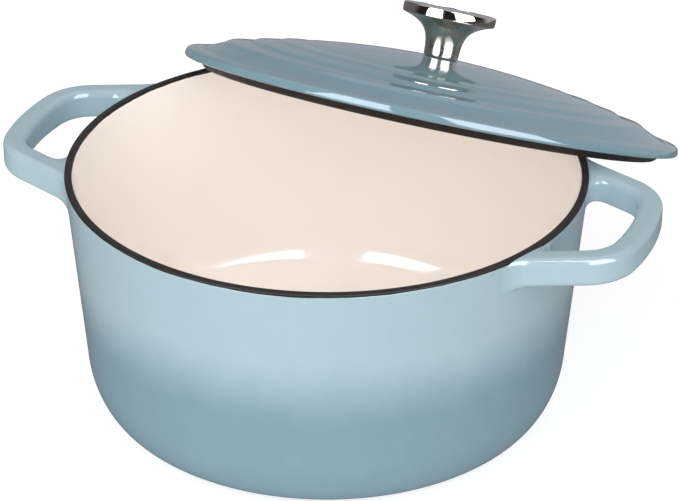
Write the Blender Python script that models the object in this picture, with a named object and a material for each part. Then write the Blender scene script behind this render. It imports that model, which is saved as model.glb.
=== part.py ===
"""Enamelled cast iron dutch oven with its lid leaning on the rim.

Units are metres and +Z is up. The origin is the centre of the flat base, and the two handles lie along X.
The pot and the lid are iron castings, each with a coloured enamel coat outside and a pale one inside.
Both handles are cast in one piece with the pot. The knob is a hollow steel pressing on a threaded insert,
held by one screw from inside the lid.
"""

import math

import bmesh
import bpy
from mathutils import Vector

MM = 0.001

# Fits and coats
GAP = 0.3 * MM  # air between two solids that touch on the real thing
ENAMEL = 0.4 * MM  # thickness of a coat
IRON_INSET = ENAMEL + GAP  # from the enamel's face to the iron under it
PAST = 9 * MM  # how far a cutter runs past the face that it opens
SHARP = math.radians(35)  # an edge turned further than this is shaded sharp

# Pot
RIM_RADIUS = 131 * MM
RIM_WIDTH = 3.6 * MM
POT_HEIGHT = 128 * MM
LIP_DEPTH = 1.4 * MM  # bare iron band round the rim, free of enamel
LIP_CHAMFER = 0.5 * MM
OUTER_TAPER = math.tan(math.radians(4.95))
INNER_TAPER = math.tan(math.radians(5.3))
BASE_CORNER = (16.5 * MM, 30 * MM)  # half axes of the quarter ellipse between wall and base
COAT_END = math.radians(75)  # where the coat stops, as an angle on that quarter ellipse
IRON_END = math.radians(68)  # where the iron leaves it for the flat base
BASE_FLAT_RADIUS = 104 * MM
FLOOR_THICKNESS = 5.2 * MM
FLOOR_CORNER = 22 * MM

# Handles, cast with the pot: a bar of rounded rectangular section bent to a U with slanting arms
BAR_WIDTH = 10.4 * MM
BAR_HEIGHT = 13.6 * MM
BAR_EDGE = 3.4 * MM
BAR_TOP = POT_HEIGHT - 0.4 * MM
GRIP_REACH = 164.1 * MM  # from the pot's axis to the middle of the grip
GRIP_HALF_LENGTH = 32 * MM
ARM_SLANT = math.radians(23.2)
ARM_START = 112 * MM  # the arms begin inside the wall
BEND_RADIUS = 24 * MM
ROOT_FLARE = 2.2 * MM  # how far the arms widen where they meet the wall
ROOT_LENGTH = 8 * MM
ROOT_STEPS = (0.0, 0.3, 0.6, 1.0)  # where the root has a section, as shares of its length
ROOT_POWER = 1.5  # how fast the widening dies away
BEND_STEPS = 4

# Lid, measured from the plane of its widest circle
LID_RADIUS = 133.4 * MM
NOSE_RADIUS = 2.4 * MM
DOME_HEIGHT = 24 * MM
DOME_DROP = 3.9 * MM
DOME_RADIUS = 60 * MM
# Radius and height of each edge of the stepped rings between the dome and the rounded rim
RING_EDGES = (
    (69.5, 18.8),
    (74.5, 17.8),
    (83, 16.9),
    (87, 15.7),
    (97, 14),
    (100.5, 12.2),
    (111, 10.8),
    (114, 8.8),
    (122.5, 5.3),
    (127, 4.4),
)
LID_WALL = 3.8 * MM
# Inside of the lid from the dome's edge to the locating rib, which stays bare iron
CEILING_EDGES = ((60, 16.4), (100, 9.2), (112, 5.2))
RIB_EDGES = ((117.4, 0.6), (118.6, -4.4), (119.8, -5.45), (121.5, -5.45), (122.6, -4.5), (124.9, -1.2))
SKIRT_COAT_RADIUS = 125.8 * MM  # the outer coat turns under the lid's rim and stops here
HOLE_RADIUS = 3.3 * MM

# The lid leans on the back of the rim, with the knob's screw just inside it
LID_CENTRE = Vector((15.3, 113.5, 128 - 13.5)) * MM
LID_TILT = math.radians(24.56)
LID_HEADING = math.radians(82.6)  # direction of its lowest point, from +X towards +Y

# Knob, screw and washers, measured from the knob's foot
KNOB_HEIGHT = 26.2 * MM
KNOB_WALL = 1.2 * MM
KNOB_SIDE = (
    (8.5, 0),
    (9.2, 0.8),
    (9.6, 6.5),
    (10.3, 10.2),
    (11.6, 13.2),
    (13.5, 15.6),
    (16.3, 17.6),
    (19.6, 19.2),
    (23.4, 20.6),
    (24.7, 21.8),
    (25, 23.4),
    (25, 25.2),
    (24.4, 26),
)
CAP_RADIUS = 22.9 * MM
CAP_SKIRT = 3 * MM
INSERT_RADIUS = 5.6 * MM
INSERT_HEIGHT = 14 * MM
SCREW_RADIUS = 3 * MM
SCREW_LENGTH = 20 * MM
HEAD_RADIUS = 5.3 * MM
HEAD_HEIGHT = 3.6 * MM
HEAD_CROWN = ((1, 0.67), (0.8, 0.11), (0.4, 0))  # rounding, as shares of the head's radius and height
FLAT_WASHER = (6 * MM, 1 * MM)  # outer radius and thickness
SPRING_WASHER = (5.3 * MM, 1.4 * MM)
SPLIT_WIDTH = 1.2 * MM
SOCKET = (2.3 * MM, 2 * MM)  # corner radius and depth of the hexagon in the screw's head

POT_FACETS = 40
KNOB_FACETS = 24


def material(name, colour, roughness, metallic):
    """A plain finish with one colour."""
    made = bpy.data.materials.new(name)
    made.use_nodes = True
    shader = made.node_tree.nodes["Principled BSDF"]
    shader.inputs["Base Color"].default_value = (*colour, 1)
    shader.inputs["Roughness"].default_value = roughness
    shader.inputs["Metallic"].default_value = metallic
    return made


def place(mesh, name, finish, parent=None):
    """Puts a mesh into the scene as a named object."""
    made = bpy.data.objects.new(name, mesh)
    bpy.context.scene.collection.objects.link(made)
    made.parent = parent
    if finish:
        mesh.materials.append(finish)
    mesh.shade_smooth()
    mesh.set_sharp_from_angle(angle=SHARP)
    return made


def cutter(mesh, name, turn=0.0):
    """A helper for a Boolean, left out of the model."""
    made = place(mesh, name, None)
    made.rotation_euler.z = turn
    made.hide_render = True
    made.display_type = "WIRE"
    return made


def boolean(target, operation, other):
    """Joins other to target, or cuts it away, with a modifier that stays live."""
    made = target.modifiers.new(f"{operation.lower()}_{other.name}", "BOOLEAN")
    made.operation = operation
    made.object = other
    made.solver = "EXACT"


def turned(name, profile, facets):
    """The solid that a profile of (radius, height) points sweeps round Z. A profile whose two ends lie on the
    axis closes there; any other is joined end to start into a ring."""
    on_axis = profile[0][0] == 0 and profile[-1][0] == 0
    made = bmesh.new()
    rings = []
    for radius, height in profile:
        if radius == 0:
            rings.append([made.verts.new((0, 0, height))])
            continue
        angles = [math.tau * k / facets for k in range(facets)]
        rings.append([made.verts.new((radius * math.cos(a), radius * math.sin(a), height)) for a in angles])
    pairs = list(zip(rings, rings[1:]))
    if not on_axis:
        pairs.append((rings[-1], rings[0]))
    for first, second in pairs:
        for k in range(facets):
            corners = [first[k % len(first)], first[(k + 1) % len(first)]]
            corners += [second[(k + 1) % len(second)], second[k % len(second)]]
            made.faces.new(list(dict.fromkeys(corners)))
    bmesh.ops.recalc_face_normals(made, faces=made.faces)
    mesh = bpy.data.meshes.new(name)
    made.to_mesh(mesh)
    made.free()
    return mesh


def inset(points, distance):
    """The line of points moved sideways by distance, to the right of its direction, with mitred corners."""
    moved = []
    for k, (x, y) in enumerate(points):
        before = points[max(k - 1, 0)]
        after = points[min(k + 1, len(points) - 1)]
        normals = []
        for start, end in ((before, (x, y)), ((x, y), after)):
            length = math.dist(start, end)
            if length > 0:
                normals.append(Vector((end[1] - start[1], start[0] - end[0])) / length)
        mean = sum(normals, Vector((0, 0))).normalized()
        step = mean * (distance / mean.dot(normals[0]))
        moved.append((x + step.x, y + step.y))
    return moved


def arc(centre, radii, start, end, steps):
    """Points on an ellipse, at equal angles from start to end."""
    angles = [start + (end - start) * k / steps for k in range(steps + 1)]
    return [(centre[0] + radii[0] * math.cos(a), centre[1] + radii[1] * math.sin(a)) for a in angles]


def in_mm(points):
    """Points given in millimetres, in metres."""
    return [(radius * MM, height * MM) for radius, height in points]


def pot_side(top, end_angle, steps):
    """The pot's outer face from the height top down its straight taper and round the base corner."""
    wide, tall = BASE_CORNER
    foot = RIM_RADIUS - OUTER_TAPER * (POT_HEIGHT - tall)
    side = [(RIM_RADIUS - OUTER_TAPER * (POT_HEIGHT - top), top)]
    for k in range(steps + 1):
        angle = end_angle * k / steps
        lean = OUTER_TAPER * tall * math.sin(angle) / 2
        radius = foot - wide * (1 - math.cos(angle)) - lean
        side.append((radius, tall * (1 - math.sin(angle))))
    return side


def pot_inside(top, steps):
    """The pot's inner face from the height top down to the middle of the floor."""
    rim = RIM_RADIUS - RIM_WIDTH
    corner_top = FLOOR_THICKNESS + FLOOR_CORNER
    wall_foot = rim - INNER_TAPER * (POT_HEIGHT - corner_top)
    side = [(rim - INNER_TAPER * (POT_HEIGHT - top), top)]
    centre = (wall_foot - FLOOR_CORNER, corner_top)
    side += arc(centre, (FLOOR_CORNER, FLOOR_CORNER), 0, -math.pi / 2, steps)
    return side + [(0, FLOOR_THICKNESS)]


def handle_path():
    """Centre line of a handle in plan: (point, direction, widening) from one root to the other."""
    corner = Vector((GRIP_REACH, GRIP_HALF_LENGTH))
    along_arm = Vector((math.cos(ARM_SLANT), -math.sin(ARM_SLANT)))
    start = corner - along_arm * ((corner.x - ARM_START) / along_arm.x)
    turn = math.pi / 2 - ARM_SLANT
    arm_end = corner - along_arm * BEND_RADIUS * math.tan(turn / 2)
    centre = arm_end + Vector((-along_arm.y, along_arm.x)) * -BEND_RADIUS
    nearest = start.dot(along_arm)
    wall = math.sqrt(nearest ** 2 + RIM_RADIUS ** 2 - start.length_squared) - nearest
    half = [(start, along_arm, 1.0)]
    for share in ROOT_STEPS:
        half.append((start + along_arm * (wall + ROOT_LENGTH * share), along_arm, (1 - share) ** ROOT_POWER))
    for k in range(BEND_STEPS + 1):
        heading = -ARM_SLANT - turn * k / BEND_STEPS
        side = Vector((-math.sin(heading), math.cos(heading)))
        half.append((centre + side * BEND_RADIUS, Vector((math.cos(heading), math.sin(heading))), 0.0))
    mirrored = [(Vector((p.x, -p.y)), Vector((-d.x, d.y)), w) for p, d, w in reversed(half)]
    return half + mirrored


def handle(name, depth):
    """One handle as a closed bar, its faces depth under the enamel's face."""
    edge = BAR_EDGE - depth
    made = bmesh.new()
    sections = []
    for point, direction, widening in handle_path():
        half_width = BAR_WIDTH / 2 - depth + ROOT_FLARE * widening
        top = BAR_TOP - depth
        bottom = BAR_TOP - BAR_HEIGHT + depth - ROOT_FLARE * widening
        outline = [(half_width, top - edge), (half_width - edge, top)]
        outline += [(-half_width + edge, top), (-half_width, top - edge)]
        outline += [(-half_width, bottom + edge), (-half_width + edge, bottom)]
        outline += [(half_width - edge, bottom), (half_width, bottom + edge)]
        across = Vector((-direction.y, direction.x))
        sections.append([made.verts.new((*(point + across * u), z)) for u, z in outline])
    for first, second in zip(sections, sections[1:]):
        for k in range(len(first)):
            following = (k + 1) % len(first)
            made.faces.new((first[k], first[following], second[following], second[k]))
    made.faces.new(sections[0])
    made.faces.new(sections[-1])
    bmesh.ops.recalc_face_normals(made, faces=made.faces)
    mesh = bpy.data.meshes.new(name)
    made.to_mesh(mesh)
    made.free()
    return mesh


def add_handles(target, depth):
    """Joins both handles to target, their faces depth under the enamel's face."""
    mesh = handle(f"{target.name}_handle", depth)
    for side, turn in (("right", 0), ("left", math.pi)):
        boolean(target, "UNION", cutter(mesh, f"{target.name}_{side}_handle", turn))


def pot_casting(finish):
    """Iron body with both handles, its rim left bare and its base flat."""
    lip_foot = POT_HEIGHT - LIP_DEPTH
    lip_side = RIM_RADIUS - OUTER_TAPER * LIP_DEPTH
    profile = [(0, POT_HEIGHT), (RIM_RADIUS - LIP_CHAMFER, POT_HEIGHT), (RIM_RADIUS, POT_HEIGHT - LIP_CHAMFER)]
    profile += [(lip_side, lip_foot)]
    profile += inset(pot_side(lip_foot, IRON_END, 5), IRON_INSET)
    profile += [(BASE_FLAT_RADIUS, 0), (0, 0)]
    made = place(turned("pot_casting", profile, POT_FACETS), "pot_casting", finish)
    add_handles(made, IRON_INSET)

    rim = RIM_RADIUS - RIM_WIDTH
    above = POT_HEIGHT + PAST
    hollow = [(0, above), (rim + LIP_CHAMFER, above), (rim + LIP_CHAMFER, POT_HEIGHT)]
    hollow += [(rim, POT_HEIGHT - LIP_CHAMFER), (rim - INNER_TAPER * LIP_DEPTH, lip_foot)]
    iron_face = inset(pot_inside(lip_foot, 6), -IRON_INSET)
    hollow += iron_face[:-1] + [(0, FLOOR_THICKNESS - IRON_INSET)]
    boolean(made, "DIFFERENCE", cutter(turned("pot_hollow", hollow, POT_FACETS), "pot_hollow"))
    return made


def pot_exterior_enamel(finish):
    """Coloured coat over the outside of the wall and round both handles, open where the iron passes through."""
    profile = [(0, POT_HEIGHT + GAP)] + pot_side(POT_HEIGHT + GAP, math.pi / 2, 6) + [(0, 0)]
    made = place(turned("pot_exterior_enamel", profile, POT_FACETS), "pot_exterior_enamel", finish)
    add_handles(made, 0)

    top = POT_HEIGHT - LIP_DEPTH - GAP
    face = pot_side(top, COAT_END, 5)
    core = inset(face, ENAMEL)
    core[0] = (core[0][0], top)
    profile = [(0, POT_HEIGHT + PAST), (RIM_RADIUS + GAP, POT_HEIGHT + PAST), (RIM_RADIUS + GAP, top)]
    profile += core + [(core[-1][0], -PAST), (0, -PAST)]
    core_blank = cutter(turned("coat_core", profile, POT_FACETS), "coat_core")
    add_handles(core_blank, ENAMEL)
    boolean(made, "DIFFERENCE", core_blank)
    return made


def pot_interior_enamel(finish):
    """Pale coat over the inside of the wall and the floor."""
    face = pot_inside(POT_HEIGHT - LIP_DEPTH - GAP, 6)
    back = inset(face, -ENAMEL)
    back[0] = (back[0][0], face[0][1])
    back[-1] = (0, FLOOR_THICKNESS - ENAMEL)
    return place(turned("pot_interior_enamel", face[::-1] + back, POT_FACETS), "pot_interior_enamel", finish)


def dome(radius):
    """Height of the lid's outer face in its middle, a shallow paraboloid."""
    return DOME_HEIGHT - DOME_DROP * (radius / DOME_RADIUS) ** 2


def lid_face(start):
    """The lid's outer face from the radius start over the rings and round the nose to the underside."""
    face = [(radius, dome(radius)) for radius in (start, DOME_RADIUS / 2, DOME_RADIUS)]
    face += in_mm(RING_EDGES)
    centre = (LID_RADIUS - NOSE_RADIUS, NOSE_RADIUS / 2)
    face += arc(centre, (NOSE_RADIUS, NOSE_RADIUS), math.pi / 2, -math.pi / 2, 6)
    return face + [(SKIRT_COAT_RADIUS, NOSE_RADIUS / 2 - NOSE_RADIUS)]


def lid_ceiling(start):
    """The lid's inner face from the radius start out to the edge of its coat."""
    inner = [(start, dome(start) - LID_WALL), (DOME_RADIUS / 2, dome(DOME_RADIUS / 2) - LID_WALL)]
    return inner + in_mm(CEILING_EDGES)


def lid_casting(finish, parent):
    """Iron lid with a bare locating rib below it and a hole for the knob's screw."""
    top = inset(lid_face(HOLE_RADIUS), IRON_INSET)
    under = inset(lid_ceiling(HOLE_RADIUS), -IRON_INSET)
    top[0] = (HOLE_RADIUS, top[0][1])
    under[0] = (HOLE_RADIUS, under[0][1])
    coat_edge = in_mm(CEILING_EDGES)[-1]
    step = [(coat_edge[0] + GAP, under[-1][1]), (coat_edge[0] + 2 * GAP, coat_edge[1])]
    rib = in_mm(RIB_EDGES)
    flange = [(rib[-1][0] + 2 * GAP, top[-1][1])]
    profile = top[:-1] + flange + rib[::-1] + step[::-1] + under[:-1][::-1]
    return place(turned("lid_casting", profile, POT_FACETS), "lid_casting", finish, parent)


def lid_exterior_enamel(finish, parent):
    """Coloured coat over the lid's top, round its edge and under the flange."""
    face = lid_face(HOLE_RADIUS + GAP)
    back = inset(face, ENAMEL)
    profile = face + back[::-1]
    return place(turned("lid_exterior_enamel", profile, POT_FACETS), "lid_exterior_enamel", finish, parent)


def lid_interior_enamel(finish, parent):
    """Pale coat inside the lid, up to the rib."""
    face = lid_ceiling(HOLE_RADIUS + GAP)
    back = inset(face, -ENAMEL)
    profile = face + back[::-1]
    return place(turned("lid_interior_enamel", profile, POT_FACETS), "lid_interior_enamel", finish, parent)


def raised(points, height):
    """The profile moved up the lid's axis by height."""
    return [(radius, z + height) for radius, z in points]


def knob_shell(finish, parent, foot):
    """Hollow pressing: foot plate, waisted stem and flared disc, open at the top."""
    side = in_mm(KNOB_SIDE)
    hollow = inset(side[1:-1], -KNOB_WALL)
    plate = INSERT_RADIUS + GAP
    inside = [(hollow[0][0], KNOB_WALL)] + hollow[1:]
    profile = [(plate, 0)] + side + [(CAP_RADIUS + 2 * GAP, KNOB_HEIGHT), (CAP_RADIUS + GAP, KNOB_HEIGHT - GAP)]
    profile += inside[::-1] + [(plate, KNOB_WALL)]
    return place(turned("knob_shell", raised(profile, foot), KNOB_FACETS), "knob_shell", finish, parent)


def knob_cap(finish, parent, foot):
    """Slightly domed disc with a short skirt that closes the knob's top."""
    skirt = CAP_RADIUS - KNOB_WALL
    profile = [(0, KNOB_HEIGHT), (CAP_RADIUS - GAP, KNOB_HEIGHT - GAP), (CAP_RADIUS, KNOB_HEIGHT - 2 * GAP)]
    profile += [(CAP_RADIUS, KNOB_HEIGHT - CAP_SKIRT), (skirt, KNOB_HEIGHT - CAP_SKIRT)]
    profile += [(skirt, KNOB_HEIGHT - KNOB_WALL - GAP), (0, KNOB_HEIGHT - KNOB_WALL)]
    return place(turned("knob_cap", raised(profile, foot), KNOB_FACETS), "knob_cap", finish, parent)


def ring(inner, outer, bottom, top):
    """The rectangular profile of a plain ring."""
    return [(inner, top), (outer, top), (outer, bottom), (inner, bottom)]


def knob_insert(finish, parent, foot):
    """Threaded bush pressed into the knob's foot."""
    profile = ring(SCREW_RADIUS + GAP, INSERT_RADIUS, foot, foot + INSERT_HEIGHT)
    return place(turned("knob_insert", profile, KNOB_FACETS), "knob_insert", finish, parent)


def flat_washer(finish, parent, top):
    """Plain ring that spreads the screw's load on the lid."""
    radius, thickness = FLAT_WASHER
    profile = ring(SCREW_RADIUS + GAP, radius, top - thickness, top)
    return place(turned("flat_washer", profile, KNOB_FACETS), "flat_washer", finish, parent)


def box(name, size, centre):
    """A block for a Boolean, in the lid's frame."""
    made = bmesh.new()
    bmesh.ops.create_cube(made, size=1)
    bmesh.ops.scale(made, vec=size, verts=made.verts)
    bmesh.ops.translate(made, vec=centre, verts=made.verts)
    mesh = bpy.data.meshes.new(name)
    made.to_mesh(mesh)
    made.free()
    return mesh


def spring_washer(finish, parent, top):
    """Split ring under the screw's head."""
    radius, thickness = SPRING_WASHER
    profile = ring(SCREW_RADIUS + GAP, radius, top - thickness, top)
    made = place(turned("spring_washer", profile, KNOB_FACETS), "spring_washer", finish, parent)
    split = cutter(box("washer_split", (radius * 2, SPLIT_WIDTH, radius), (radius, 0, top)), "washer_split")
    split.parent = parent
    boolean(made, "DIFFERENCE", split)
    return made


def knob_screw(finish, parent, top):
    """Machine screw with a rounded head, a hexagon socket and a plain shank, up through the lid into the insert."""
    bottom = top - HEAD_HEIGHT
    profile = [(0, top + SCREW_LENGTH), (SCREW_RADIUS - GAP, top + SCREW_LENGTH)]
    profile += [(SCREW_RADIUS, top + SCREW_LENGTH - GAP), (SCREW_RADIUS, top), (HEAD_RADIUS, top)]
    profile += [(HEAD_RADIUS * across, bottom + HEAD_HEIGHT * up) for across, up in HEAD_CROWN] + [(0, bottom)]
    made = place(turned("knob_screw", profile, KNOB_FACETS), "knob_screw", finish, parent)
    radius, depth = SOCKET
    hexagon = [(0, bottom + depth), (radius, bottom + depth), (radius, bottom - depth), (0, bottom - depth)]
    socket = cutter(turned("socket", hexagon, 6), "socket")
    socket.parent = parent
    boolean(made, "DIFFERENCE", socket)
    return made


def main():
    for old in list(bpy.data.objects):
        bpy.data.objects.remove(old, do_unlink=True)

    iron = material("bare_cast_iron", (0.035, 0.03, 0.027), 0.65, 0.6)
    blue = material("pale_blue_enamel", (0.28, 0.42, 0.49), 0.12, 0)
    cream = material("cream_enamel", (0.86, 0.78, 0.69), 0.15, 0)
    steel = material("polished_stainless", (0.6, 0.59, 0.57), 0.12, 1)
    zinc = material("zinc_plated_steel", (0.5, 0.5, 0.48), 0.35, 1)

    pot_casting(iron)
    pot_exterior_enamel(blue)
    pot_interior_enamel(cream)

    lid = bpy.data.objects.new("lid_centre", None)
    bpy.context.scene.collection.objects.link(lid)
    lid.location = LID_CENTRE
    lid.rotation_euler = (0, LID_TILT, LID_HEADING)
    lid_casting(iron, lid)
    lid_exterior_enamel(blue, lid)
    lid_interior_enamel(cream, lid)

    foot = DOME_HEIGHT + GAP
    knob_shell(steel, lid, foot)
    knob_cap(steel, lid, foot)
    knob_insert(zinc, lid, foot)
    washer_top = dome(0) - LID_WALL - GAP
    flat_washer(zinc, lid, washer_top)
    spring_top = washer_top - FLAT_WASHER[1] - GAP
    spring_washer(zinc, lid, spring_top)
    knob_screw(zinc, lid, spring_top - SPRING_WASHER[1] - GAP)


main()
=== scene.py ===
"""Looks of an enamelled cast iron dutch oven whose lid leans on the back of its rim.

Each piece is a surface worked out with numpy, in the place of the CAD solid of the same part. Lengths
are in metres; a number times MM is in millimetres. A turned piece is a profile of (radius, height) swept
round an axis: the pot's axis is Z, and the lid's axis is read from its casting.
"""

import bpy
import numpy as np
from mathutils import Matrix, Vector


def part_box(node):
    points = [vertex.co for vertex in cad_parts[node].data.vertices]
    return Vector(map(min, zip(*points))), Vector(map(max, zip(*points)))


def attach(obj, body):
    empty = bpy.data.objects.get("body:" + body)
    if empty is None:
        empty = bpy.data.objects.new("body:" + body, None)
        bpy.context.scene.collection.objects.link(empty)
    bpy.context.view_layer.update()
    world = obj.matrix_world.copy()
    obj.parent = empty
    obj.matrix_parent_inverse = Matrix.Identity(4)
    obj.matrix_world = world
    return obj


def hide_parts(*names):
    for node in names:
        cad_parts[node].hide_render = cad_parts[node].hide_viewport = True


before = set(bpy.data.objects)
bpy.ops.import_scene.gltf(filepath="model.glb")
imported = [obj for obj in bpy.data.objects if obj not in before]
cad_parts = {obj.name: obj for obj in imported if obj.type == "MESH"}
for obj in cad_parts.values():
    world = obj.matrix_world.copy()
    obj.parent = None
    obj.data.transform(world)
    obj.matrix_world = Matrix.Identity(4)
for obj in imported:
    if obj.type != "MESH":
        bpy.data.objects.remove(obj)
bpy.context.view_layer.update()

MM = 0.001
TURN = 2 * np.pi
UP = np.array([0.0, 0.0, 1.0])


def corners_of(node):
    """The points of a CAD node, one row each."""
    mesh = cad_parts[node].data
    points = np.empty(len(mesh.vertices) * 3, np.float32)
    mesh.vertices.foreach_get("co", points)
    return points.reshape(-1, 3).astype(float)


def turned_axis(node):
    """Middle and axis of a turned CAD node: the axis is the direction that its points spread least
    along."""
    points = corners_of(node)
    middle = points.mean(axis=0)
    axis = np.linalg.svd((points - middle).T @ (points - middle))[0][:, 2]
    return middle, axis * np.sign(axis[2])


# ---------------------------------------------------------------- sizes read from the frame

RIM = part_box("pot_casting")[1].y
RIM_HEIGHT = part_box("pot_casting")[1].z
GRIP_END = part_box("pot_exterior_enamel")[1].x
BLUE_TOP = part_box("pot_interior_enamel")[1].z

LID_MIDDLE, LID_AXIS = turned_axis("lid_casting")
ALONG = (corners_of("lid_casting") - LID_MIDDLE) @ LID_AXIS
RIB_DEPTH = 5.45 * MM  # from the plane of the lid's widest circle down to the rib's edge
LID_ORIGIN = LID_MIDDLE + LID_AXIS * (ALONG.min() + RIB_DEPTH)
LID_SIDE = np.cross(UP, LID_AXIS)
LID_SIDE /= np.linalg.norm(LID_SIDE)
LID_FRAME = np.column_stack([np.cross(LID_SIDE, LID_AXIS), LID_SIDE, LID_AXIS])

# ---------------------------------------------------------------- sizes of the pieces

COAT = 0.4 * MM  # thickness of an enamel coat
SEAT = 0.05 * MM  # air between a coat and the iron under it

OUTER_TAPER = np.tan(np.radians(4.95))
INNER_TAPER = np.tan(np.radians(5.3))
RIM_WIDTH = 4 * MM  # from the inner face to the outer face at the top
LIP_DEPTH = RIM_HEIGHT - BLUE_TOP  # bare iron band round the rim
BASE_CORNER = (16.5 * MM, 30 * MM)  # width and height of the quarter ellipse between wall and base
POT_FLOOR = 5.2 * MM  # height of the pot's inner floor
FLOOR_CORNER = 22 * MM
BASE_FLAT = 104 * MM  # radius of the flat that the pot stands on

BAR_WIDTH = 12 * MM
BAR_HEIGHT = 15.2 * MM
BAR_TOP = RIM_HEIGHT - 0.4 * MM
BAR_EDGE = 3.2 * MM  # round of the bar's four long edges
BAR_CROWN = 0.35 * MM  # how much the bar's top falls from its middle to its sides
GRIP_REACH = GRIP_END - BAR_WIDTH / 2
GRIP_HALF = 34 * MM  # from the handle's middle to where the lines of grip and arm meet
ARM_SLANT = np.radians(23.2)  # how much the arms close in towards the grip
GRIP_LEAN = np.radians(9)  # angle at which the bowed grip meets each bend
GRIP_BOW = 120 * MM  # radius of the grip's bow
BEND = 24 * MM  # radius of the bend between arm and grip
ROOT = 11 * MM  # length of the fillet where an arm grows out of the wall
ROOT_SIDE = 8 * MM
ROOT_LEAN = 4.5 * MM  # added to a fillet's length and width inside the handle, and taken off outside it
ROOT_UNDER = 4 * MM
RIM_BITE = 0.5 * MM  # how far a root runs into the bare band above the coat

COAT_END = np.radians(75)  # where the blue coat stops on the base's corner
IRON_END = np.radians(68)  # where the iron under it goes over to the flat base
COAT_OVER = 0.25 * MM  # how far the coats run over the band's foot
COAT_ROUND = 0.3 * MM
EDGE_WAVE = 0.3 * MM  # a wave of a coat's edge is about this high, over the square root of its count
EDGE_WAVES = np.array([5, 9, 14, 23, 37, 58, 91, 133])  # waves in one turn round the rim
EDGE_FADE = 4 * MM  # height below its edge over which a coat follows the waves
BAND_INSET = 0.12 * MM  # how far the bare band stands back from the coats' faces
# rounds at the band's inner foot, its two top edges and its outer foot
BAND_ROUND = (0.0, 0.7 * MM, 0.9 * MM, 0.0)
TUCK = 0.006 * MM  # how far a root's last ring lies under the wall's face

DOME_HEIGHT = 24 * MM
DOME_DROP = 3.9 * MM  # how much the dome falls from its middle to DOME_RADIUS
DOME_RADIUS = 60 * MM
LID_WALL = 3.8 * MM
# the lid's edges are (radius, height) in millimetres from the plane of its widest circle
RING_EDGES = (
    (69.5, 18.8),
    (74.5, 17.8),
    (83, 16.9),
    (87, 15.7),
    (97, 14),
    (100.5, 12.2),
    (111, 10.8),
    (114, 8.8),
    (122.8, 5.0),
)
LIP_EDGES = ((125.2, 4.3), (127.4, 4.4), (132.3, 3.4), (133.35, -1.2))
# rounds of the rings' edges and then the lip's, in millimetres
RING_ROUND = (6, 2.5, 2.5, 1.2, 2, 1.2, 2, 1, 2, 4, 2, 1.8, 1.4)
COAT_UNDER = 125.8  # the coat turns under the flange and stops at this radius
UNDERSIDE = -1.2  # height of the flange's underside
CEILING_EDGES = ((60, 16.4), (100, 9.2), (112, 5.2))
CEILING_ROUND = 4 * MM
RIB_FOOT = (CEILING_EDGES[-1][0] + 0.6, CEILING_EDGES[-1][1])
RIB_EDGES = ((117.4, 0.6), (118.6, -4.4), (119.8, -5.45), (121.5, -5.45), (122.6, -4.5), (124.9, -1.2))
RIB_ROUND = (0.6, 0.5, 0.6, 0.6, 0.5, 1.5, 0)  # from the flange's side to the ceiling's
HOLE = 3.3 * MM  # radius of the screw's hole

FOOT = DOME_HEIGHT + 0.02 * MM  # height of the knob's foot in the lid's frame
# the knob's outside is (radius, height) in millimetres from its foot
STEM = (
    (8.6, 0.1),
    (9.15, 0.8),
    (9.35, 3.5),
    (9.6, 6.5),
    (10.3, 10.2),
    (11.6, 13.2),
    (13.5, 15.6),
    (16.3, 17.6),
    (19.6, 19.2),
    (23.2, 20.4),
)
BAND = ((24.6, 20.85), (25.0, 23.4), (24.75, 26.15), (23.0, 26.15))
BAND_CORNERS = (0.5, 13, 0.9)  # rounds of the band's lower edge, its crown and its top edge
KNOB_WALL = 1.2 * MM
STEM_FOOT = 9  # points of the stem's curve below which the pressing is solid
CAP = 22.9 * MM  # radii of the cap, the bush and the screw
BUSH = 5.6 * MM
SCREW = 3 * MM
WASHER = DOME_HEIGHT - LID_WALL - 0.1 * MM  # top of the washer under the lid
SPLIT = 0.13  # half the spring washer's gap, as an angle
SPLIT_SIZE = 0.6 * MM  # half the height of its section
SPLIT_RISE = 0.2 * MM
HEAD_TOP = WASHER - 3.1 * MM  # the screw's head starts under both washers
HEAD_HEIGHT = 3.6 * MM
HEAD = 5.3 * MM
HEAD_SLOPE = 1.2 * MM
SOCKET = 2.3 * MM
SOCKET_EDGE = 2.6 * MM
SOCKET_LIMIT = 2.5 * MM  # points inside this radius belong to the hexagon
SOCKET_DEPTH = 2 * MM
SHANK = 20 * MM

FINEST = 2.4 * MM  # most between two points of a profile
ROUND = 360  # facets round the pot and the lid
KNOB_ROUND = 160
SHARP = np.radians(50)  # an edge that turns more than this is drawn sharp


# ---------------------------------------------------------------- profiles


def fillet(corners, radii, steps=7):
    """A line of corners with each inner corner rounded: an arc that touches both of its sides, at equal
    angles. A radius of 0 keeps the corner. Radii are for the inner corners, in order."""
    corners = np.asarray(corners, float)
    line = [corners[:1]]
    for before, here, after, radius in zip(corners, corners[1:], corners[2:], radii):
        into = (here - before) / np.linalg.norm(here - before)
        out = (after - here) / np.linalg.norm(after - here)
        turn = np.arctan2(into[0] * out[1] - into[1] * out[0], into @ out)
        if radius == 0 or abs(turn) < 1e-6:
            line.append(here[None])
            continue
        side = np.sign(turn) * np.array([-into[1], into[0]])
        start = here - into * radius * np.tan(abs(turn) / 2)
        angle = np.linspace(0, abs(turn), steps)[:, None]
        line.append(start + radius * (np.sin(angle) * into + (1 - np.cos(angle)) * side))
    line.append(corners[-1:])
    return np.concatenate(line)


def filled(line, gap):
    """The line with points added on its long stretches, so that no two are further apart than gap."""
    length = np.concatenate([[0], np.cumsum(np.linalg.norm(np.diff(line, axis=0), axis=1))])
    extra = np.arange(0, length[-1], gap)
    near = np.abs(extra[:, None] - length[None]).min(axis=1) < gap / 3
    places = np.unique(np.concatenate([length, extra[~near]]))
    return np.column_stack([np.interp(places, length, line[:, k]) for k in range(line.shape[1])])


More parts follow.
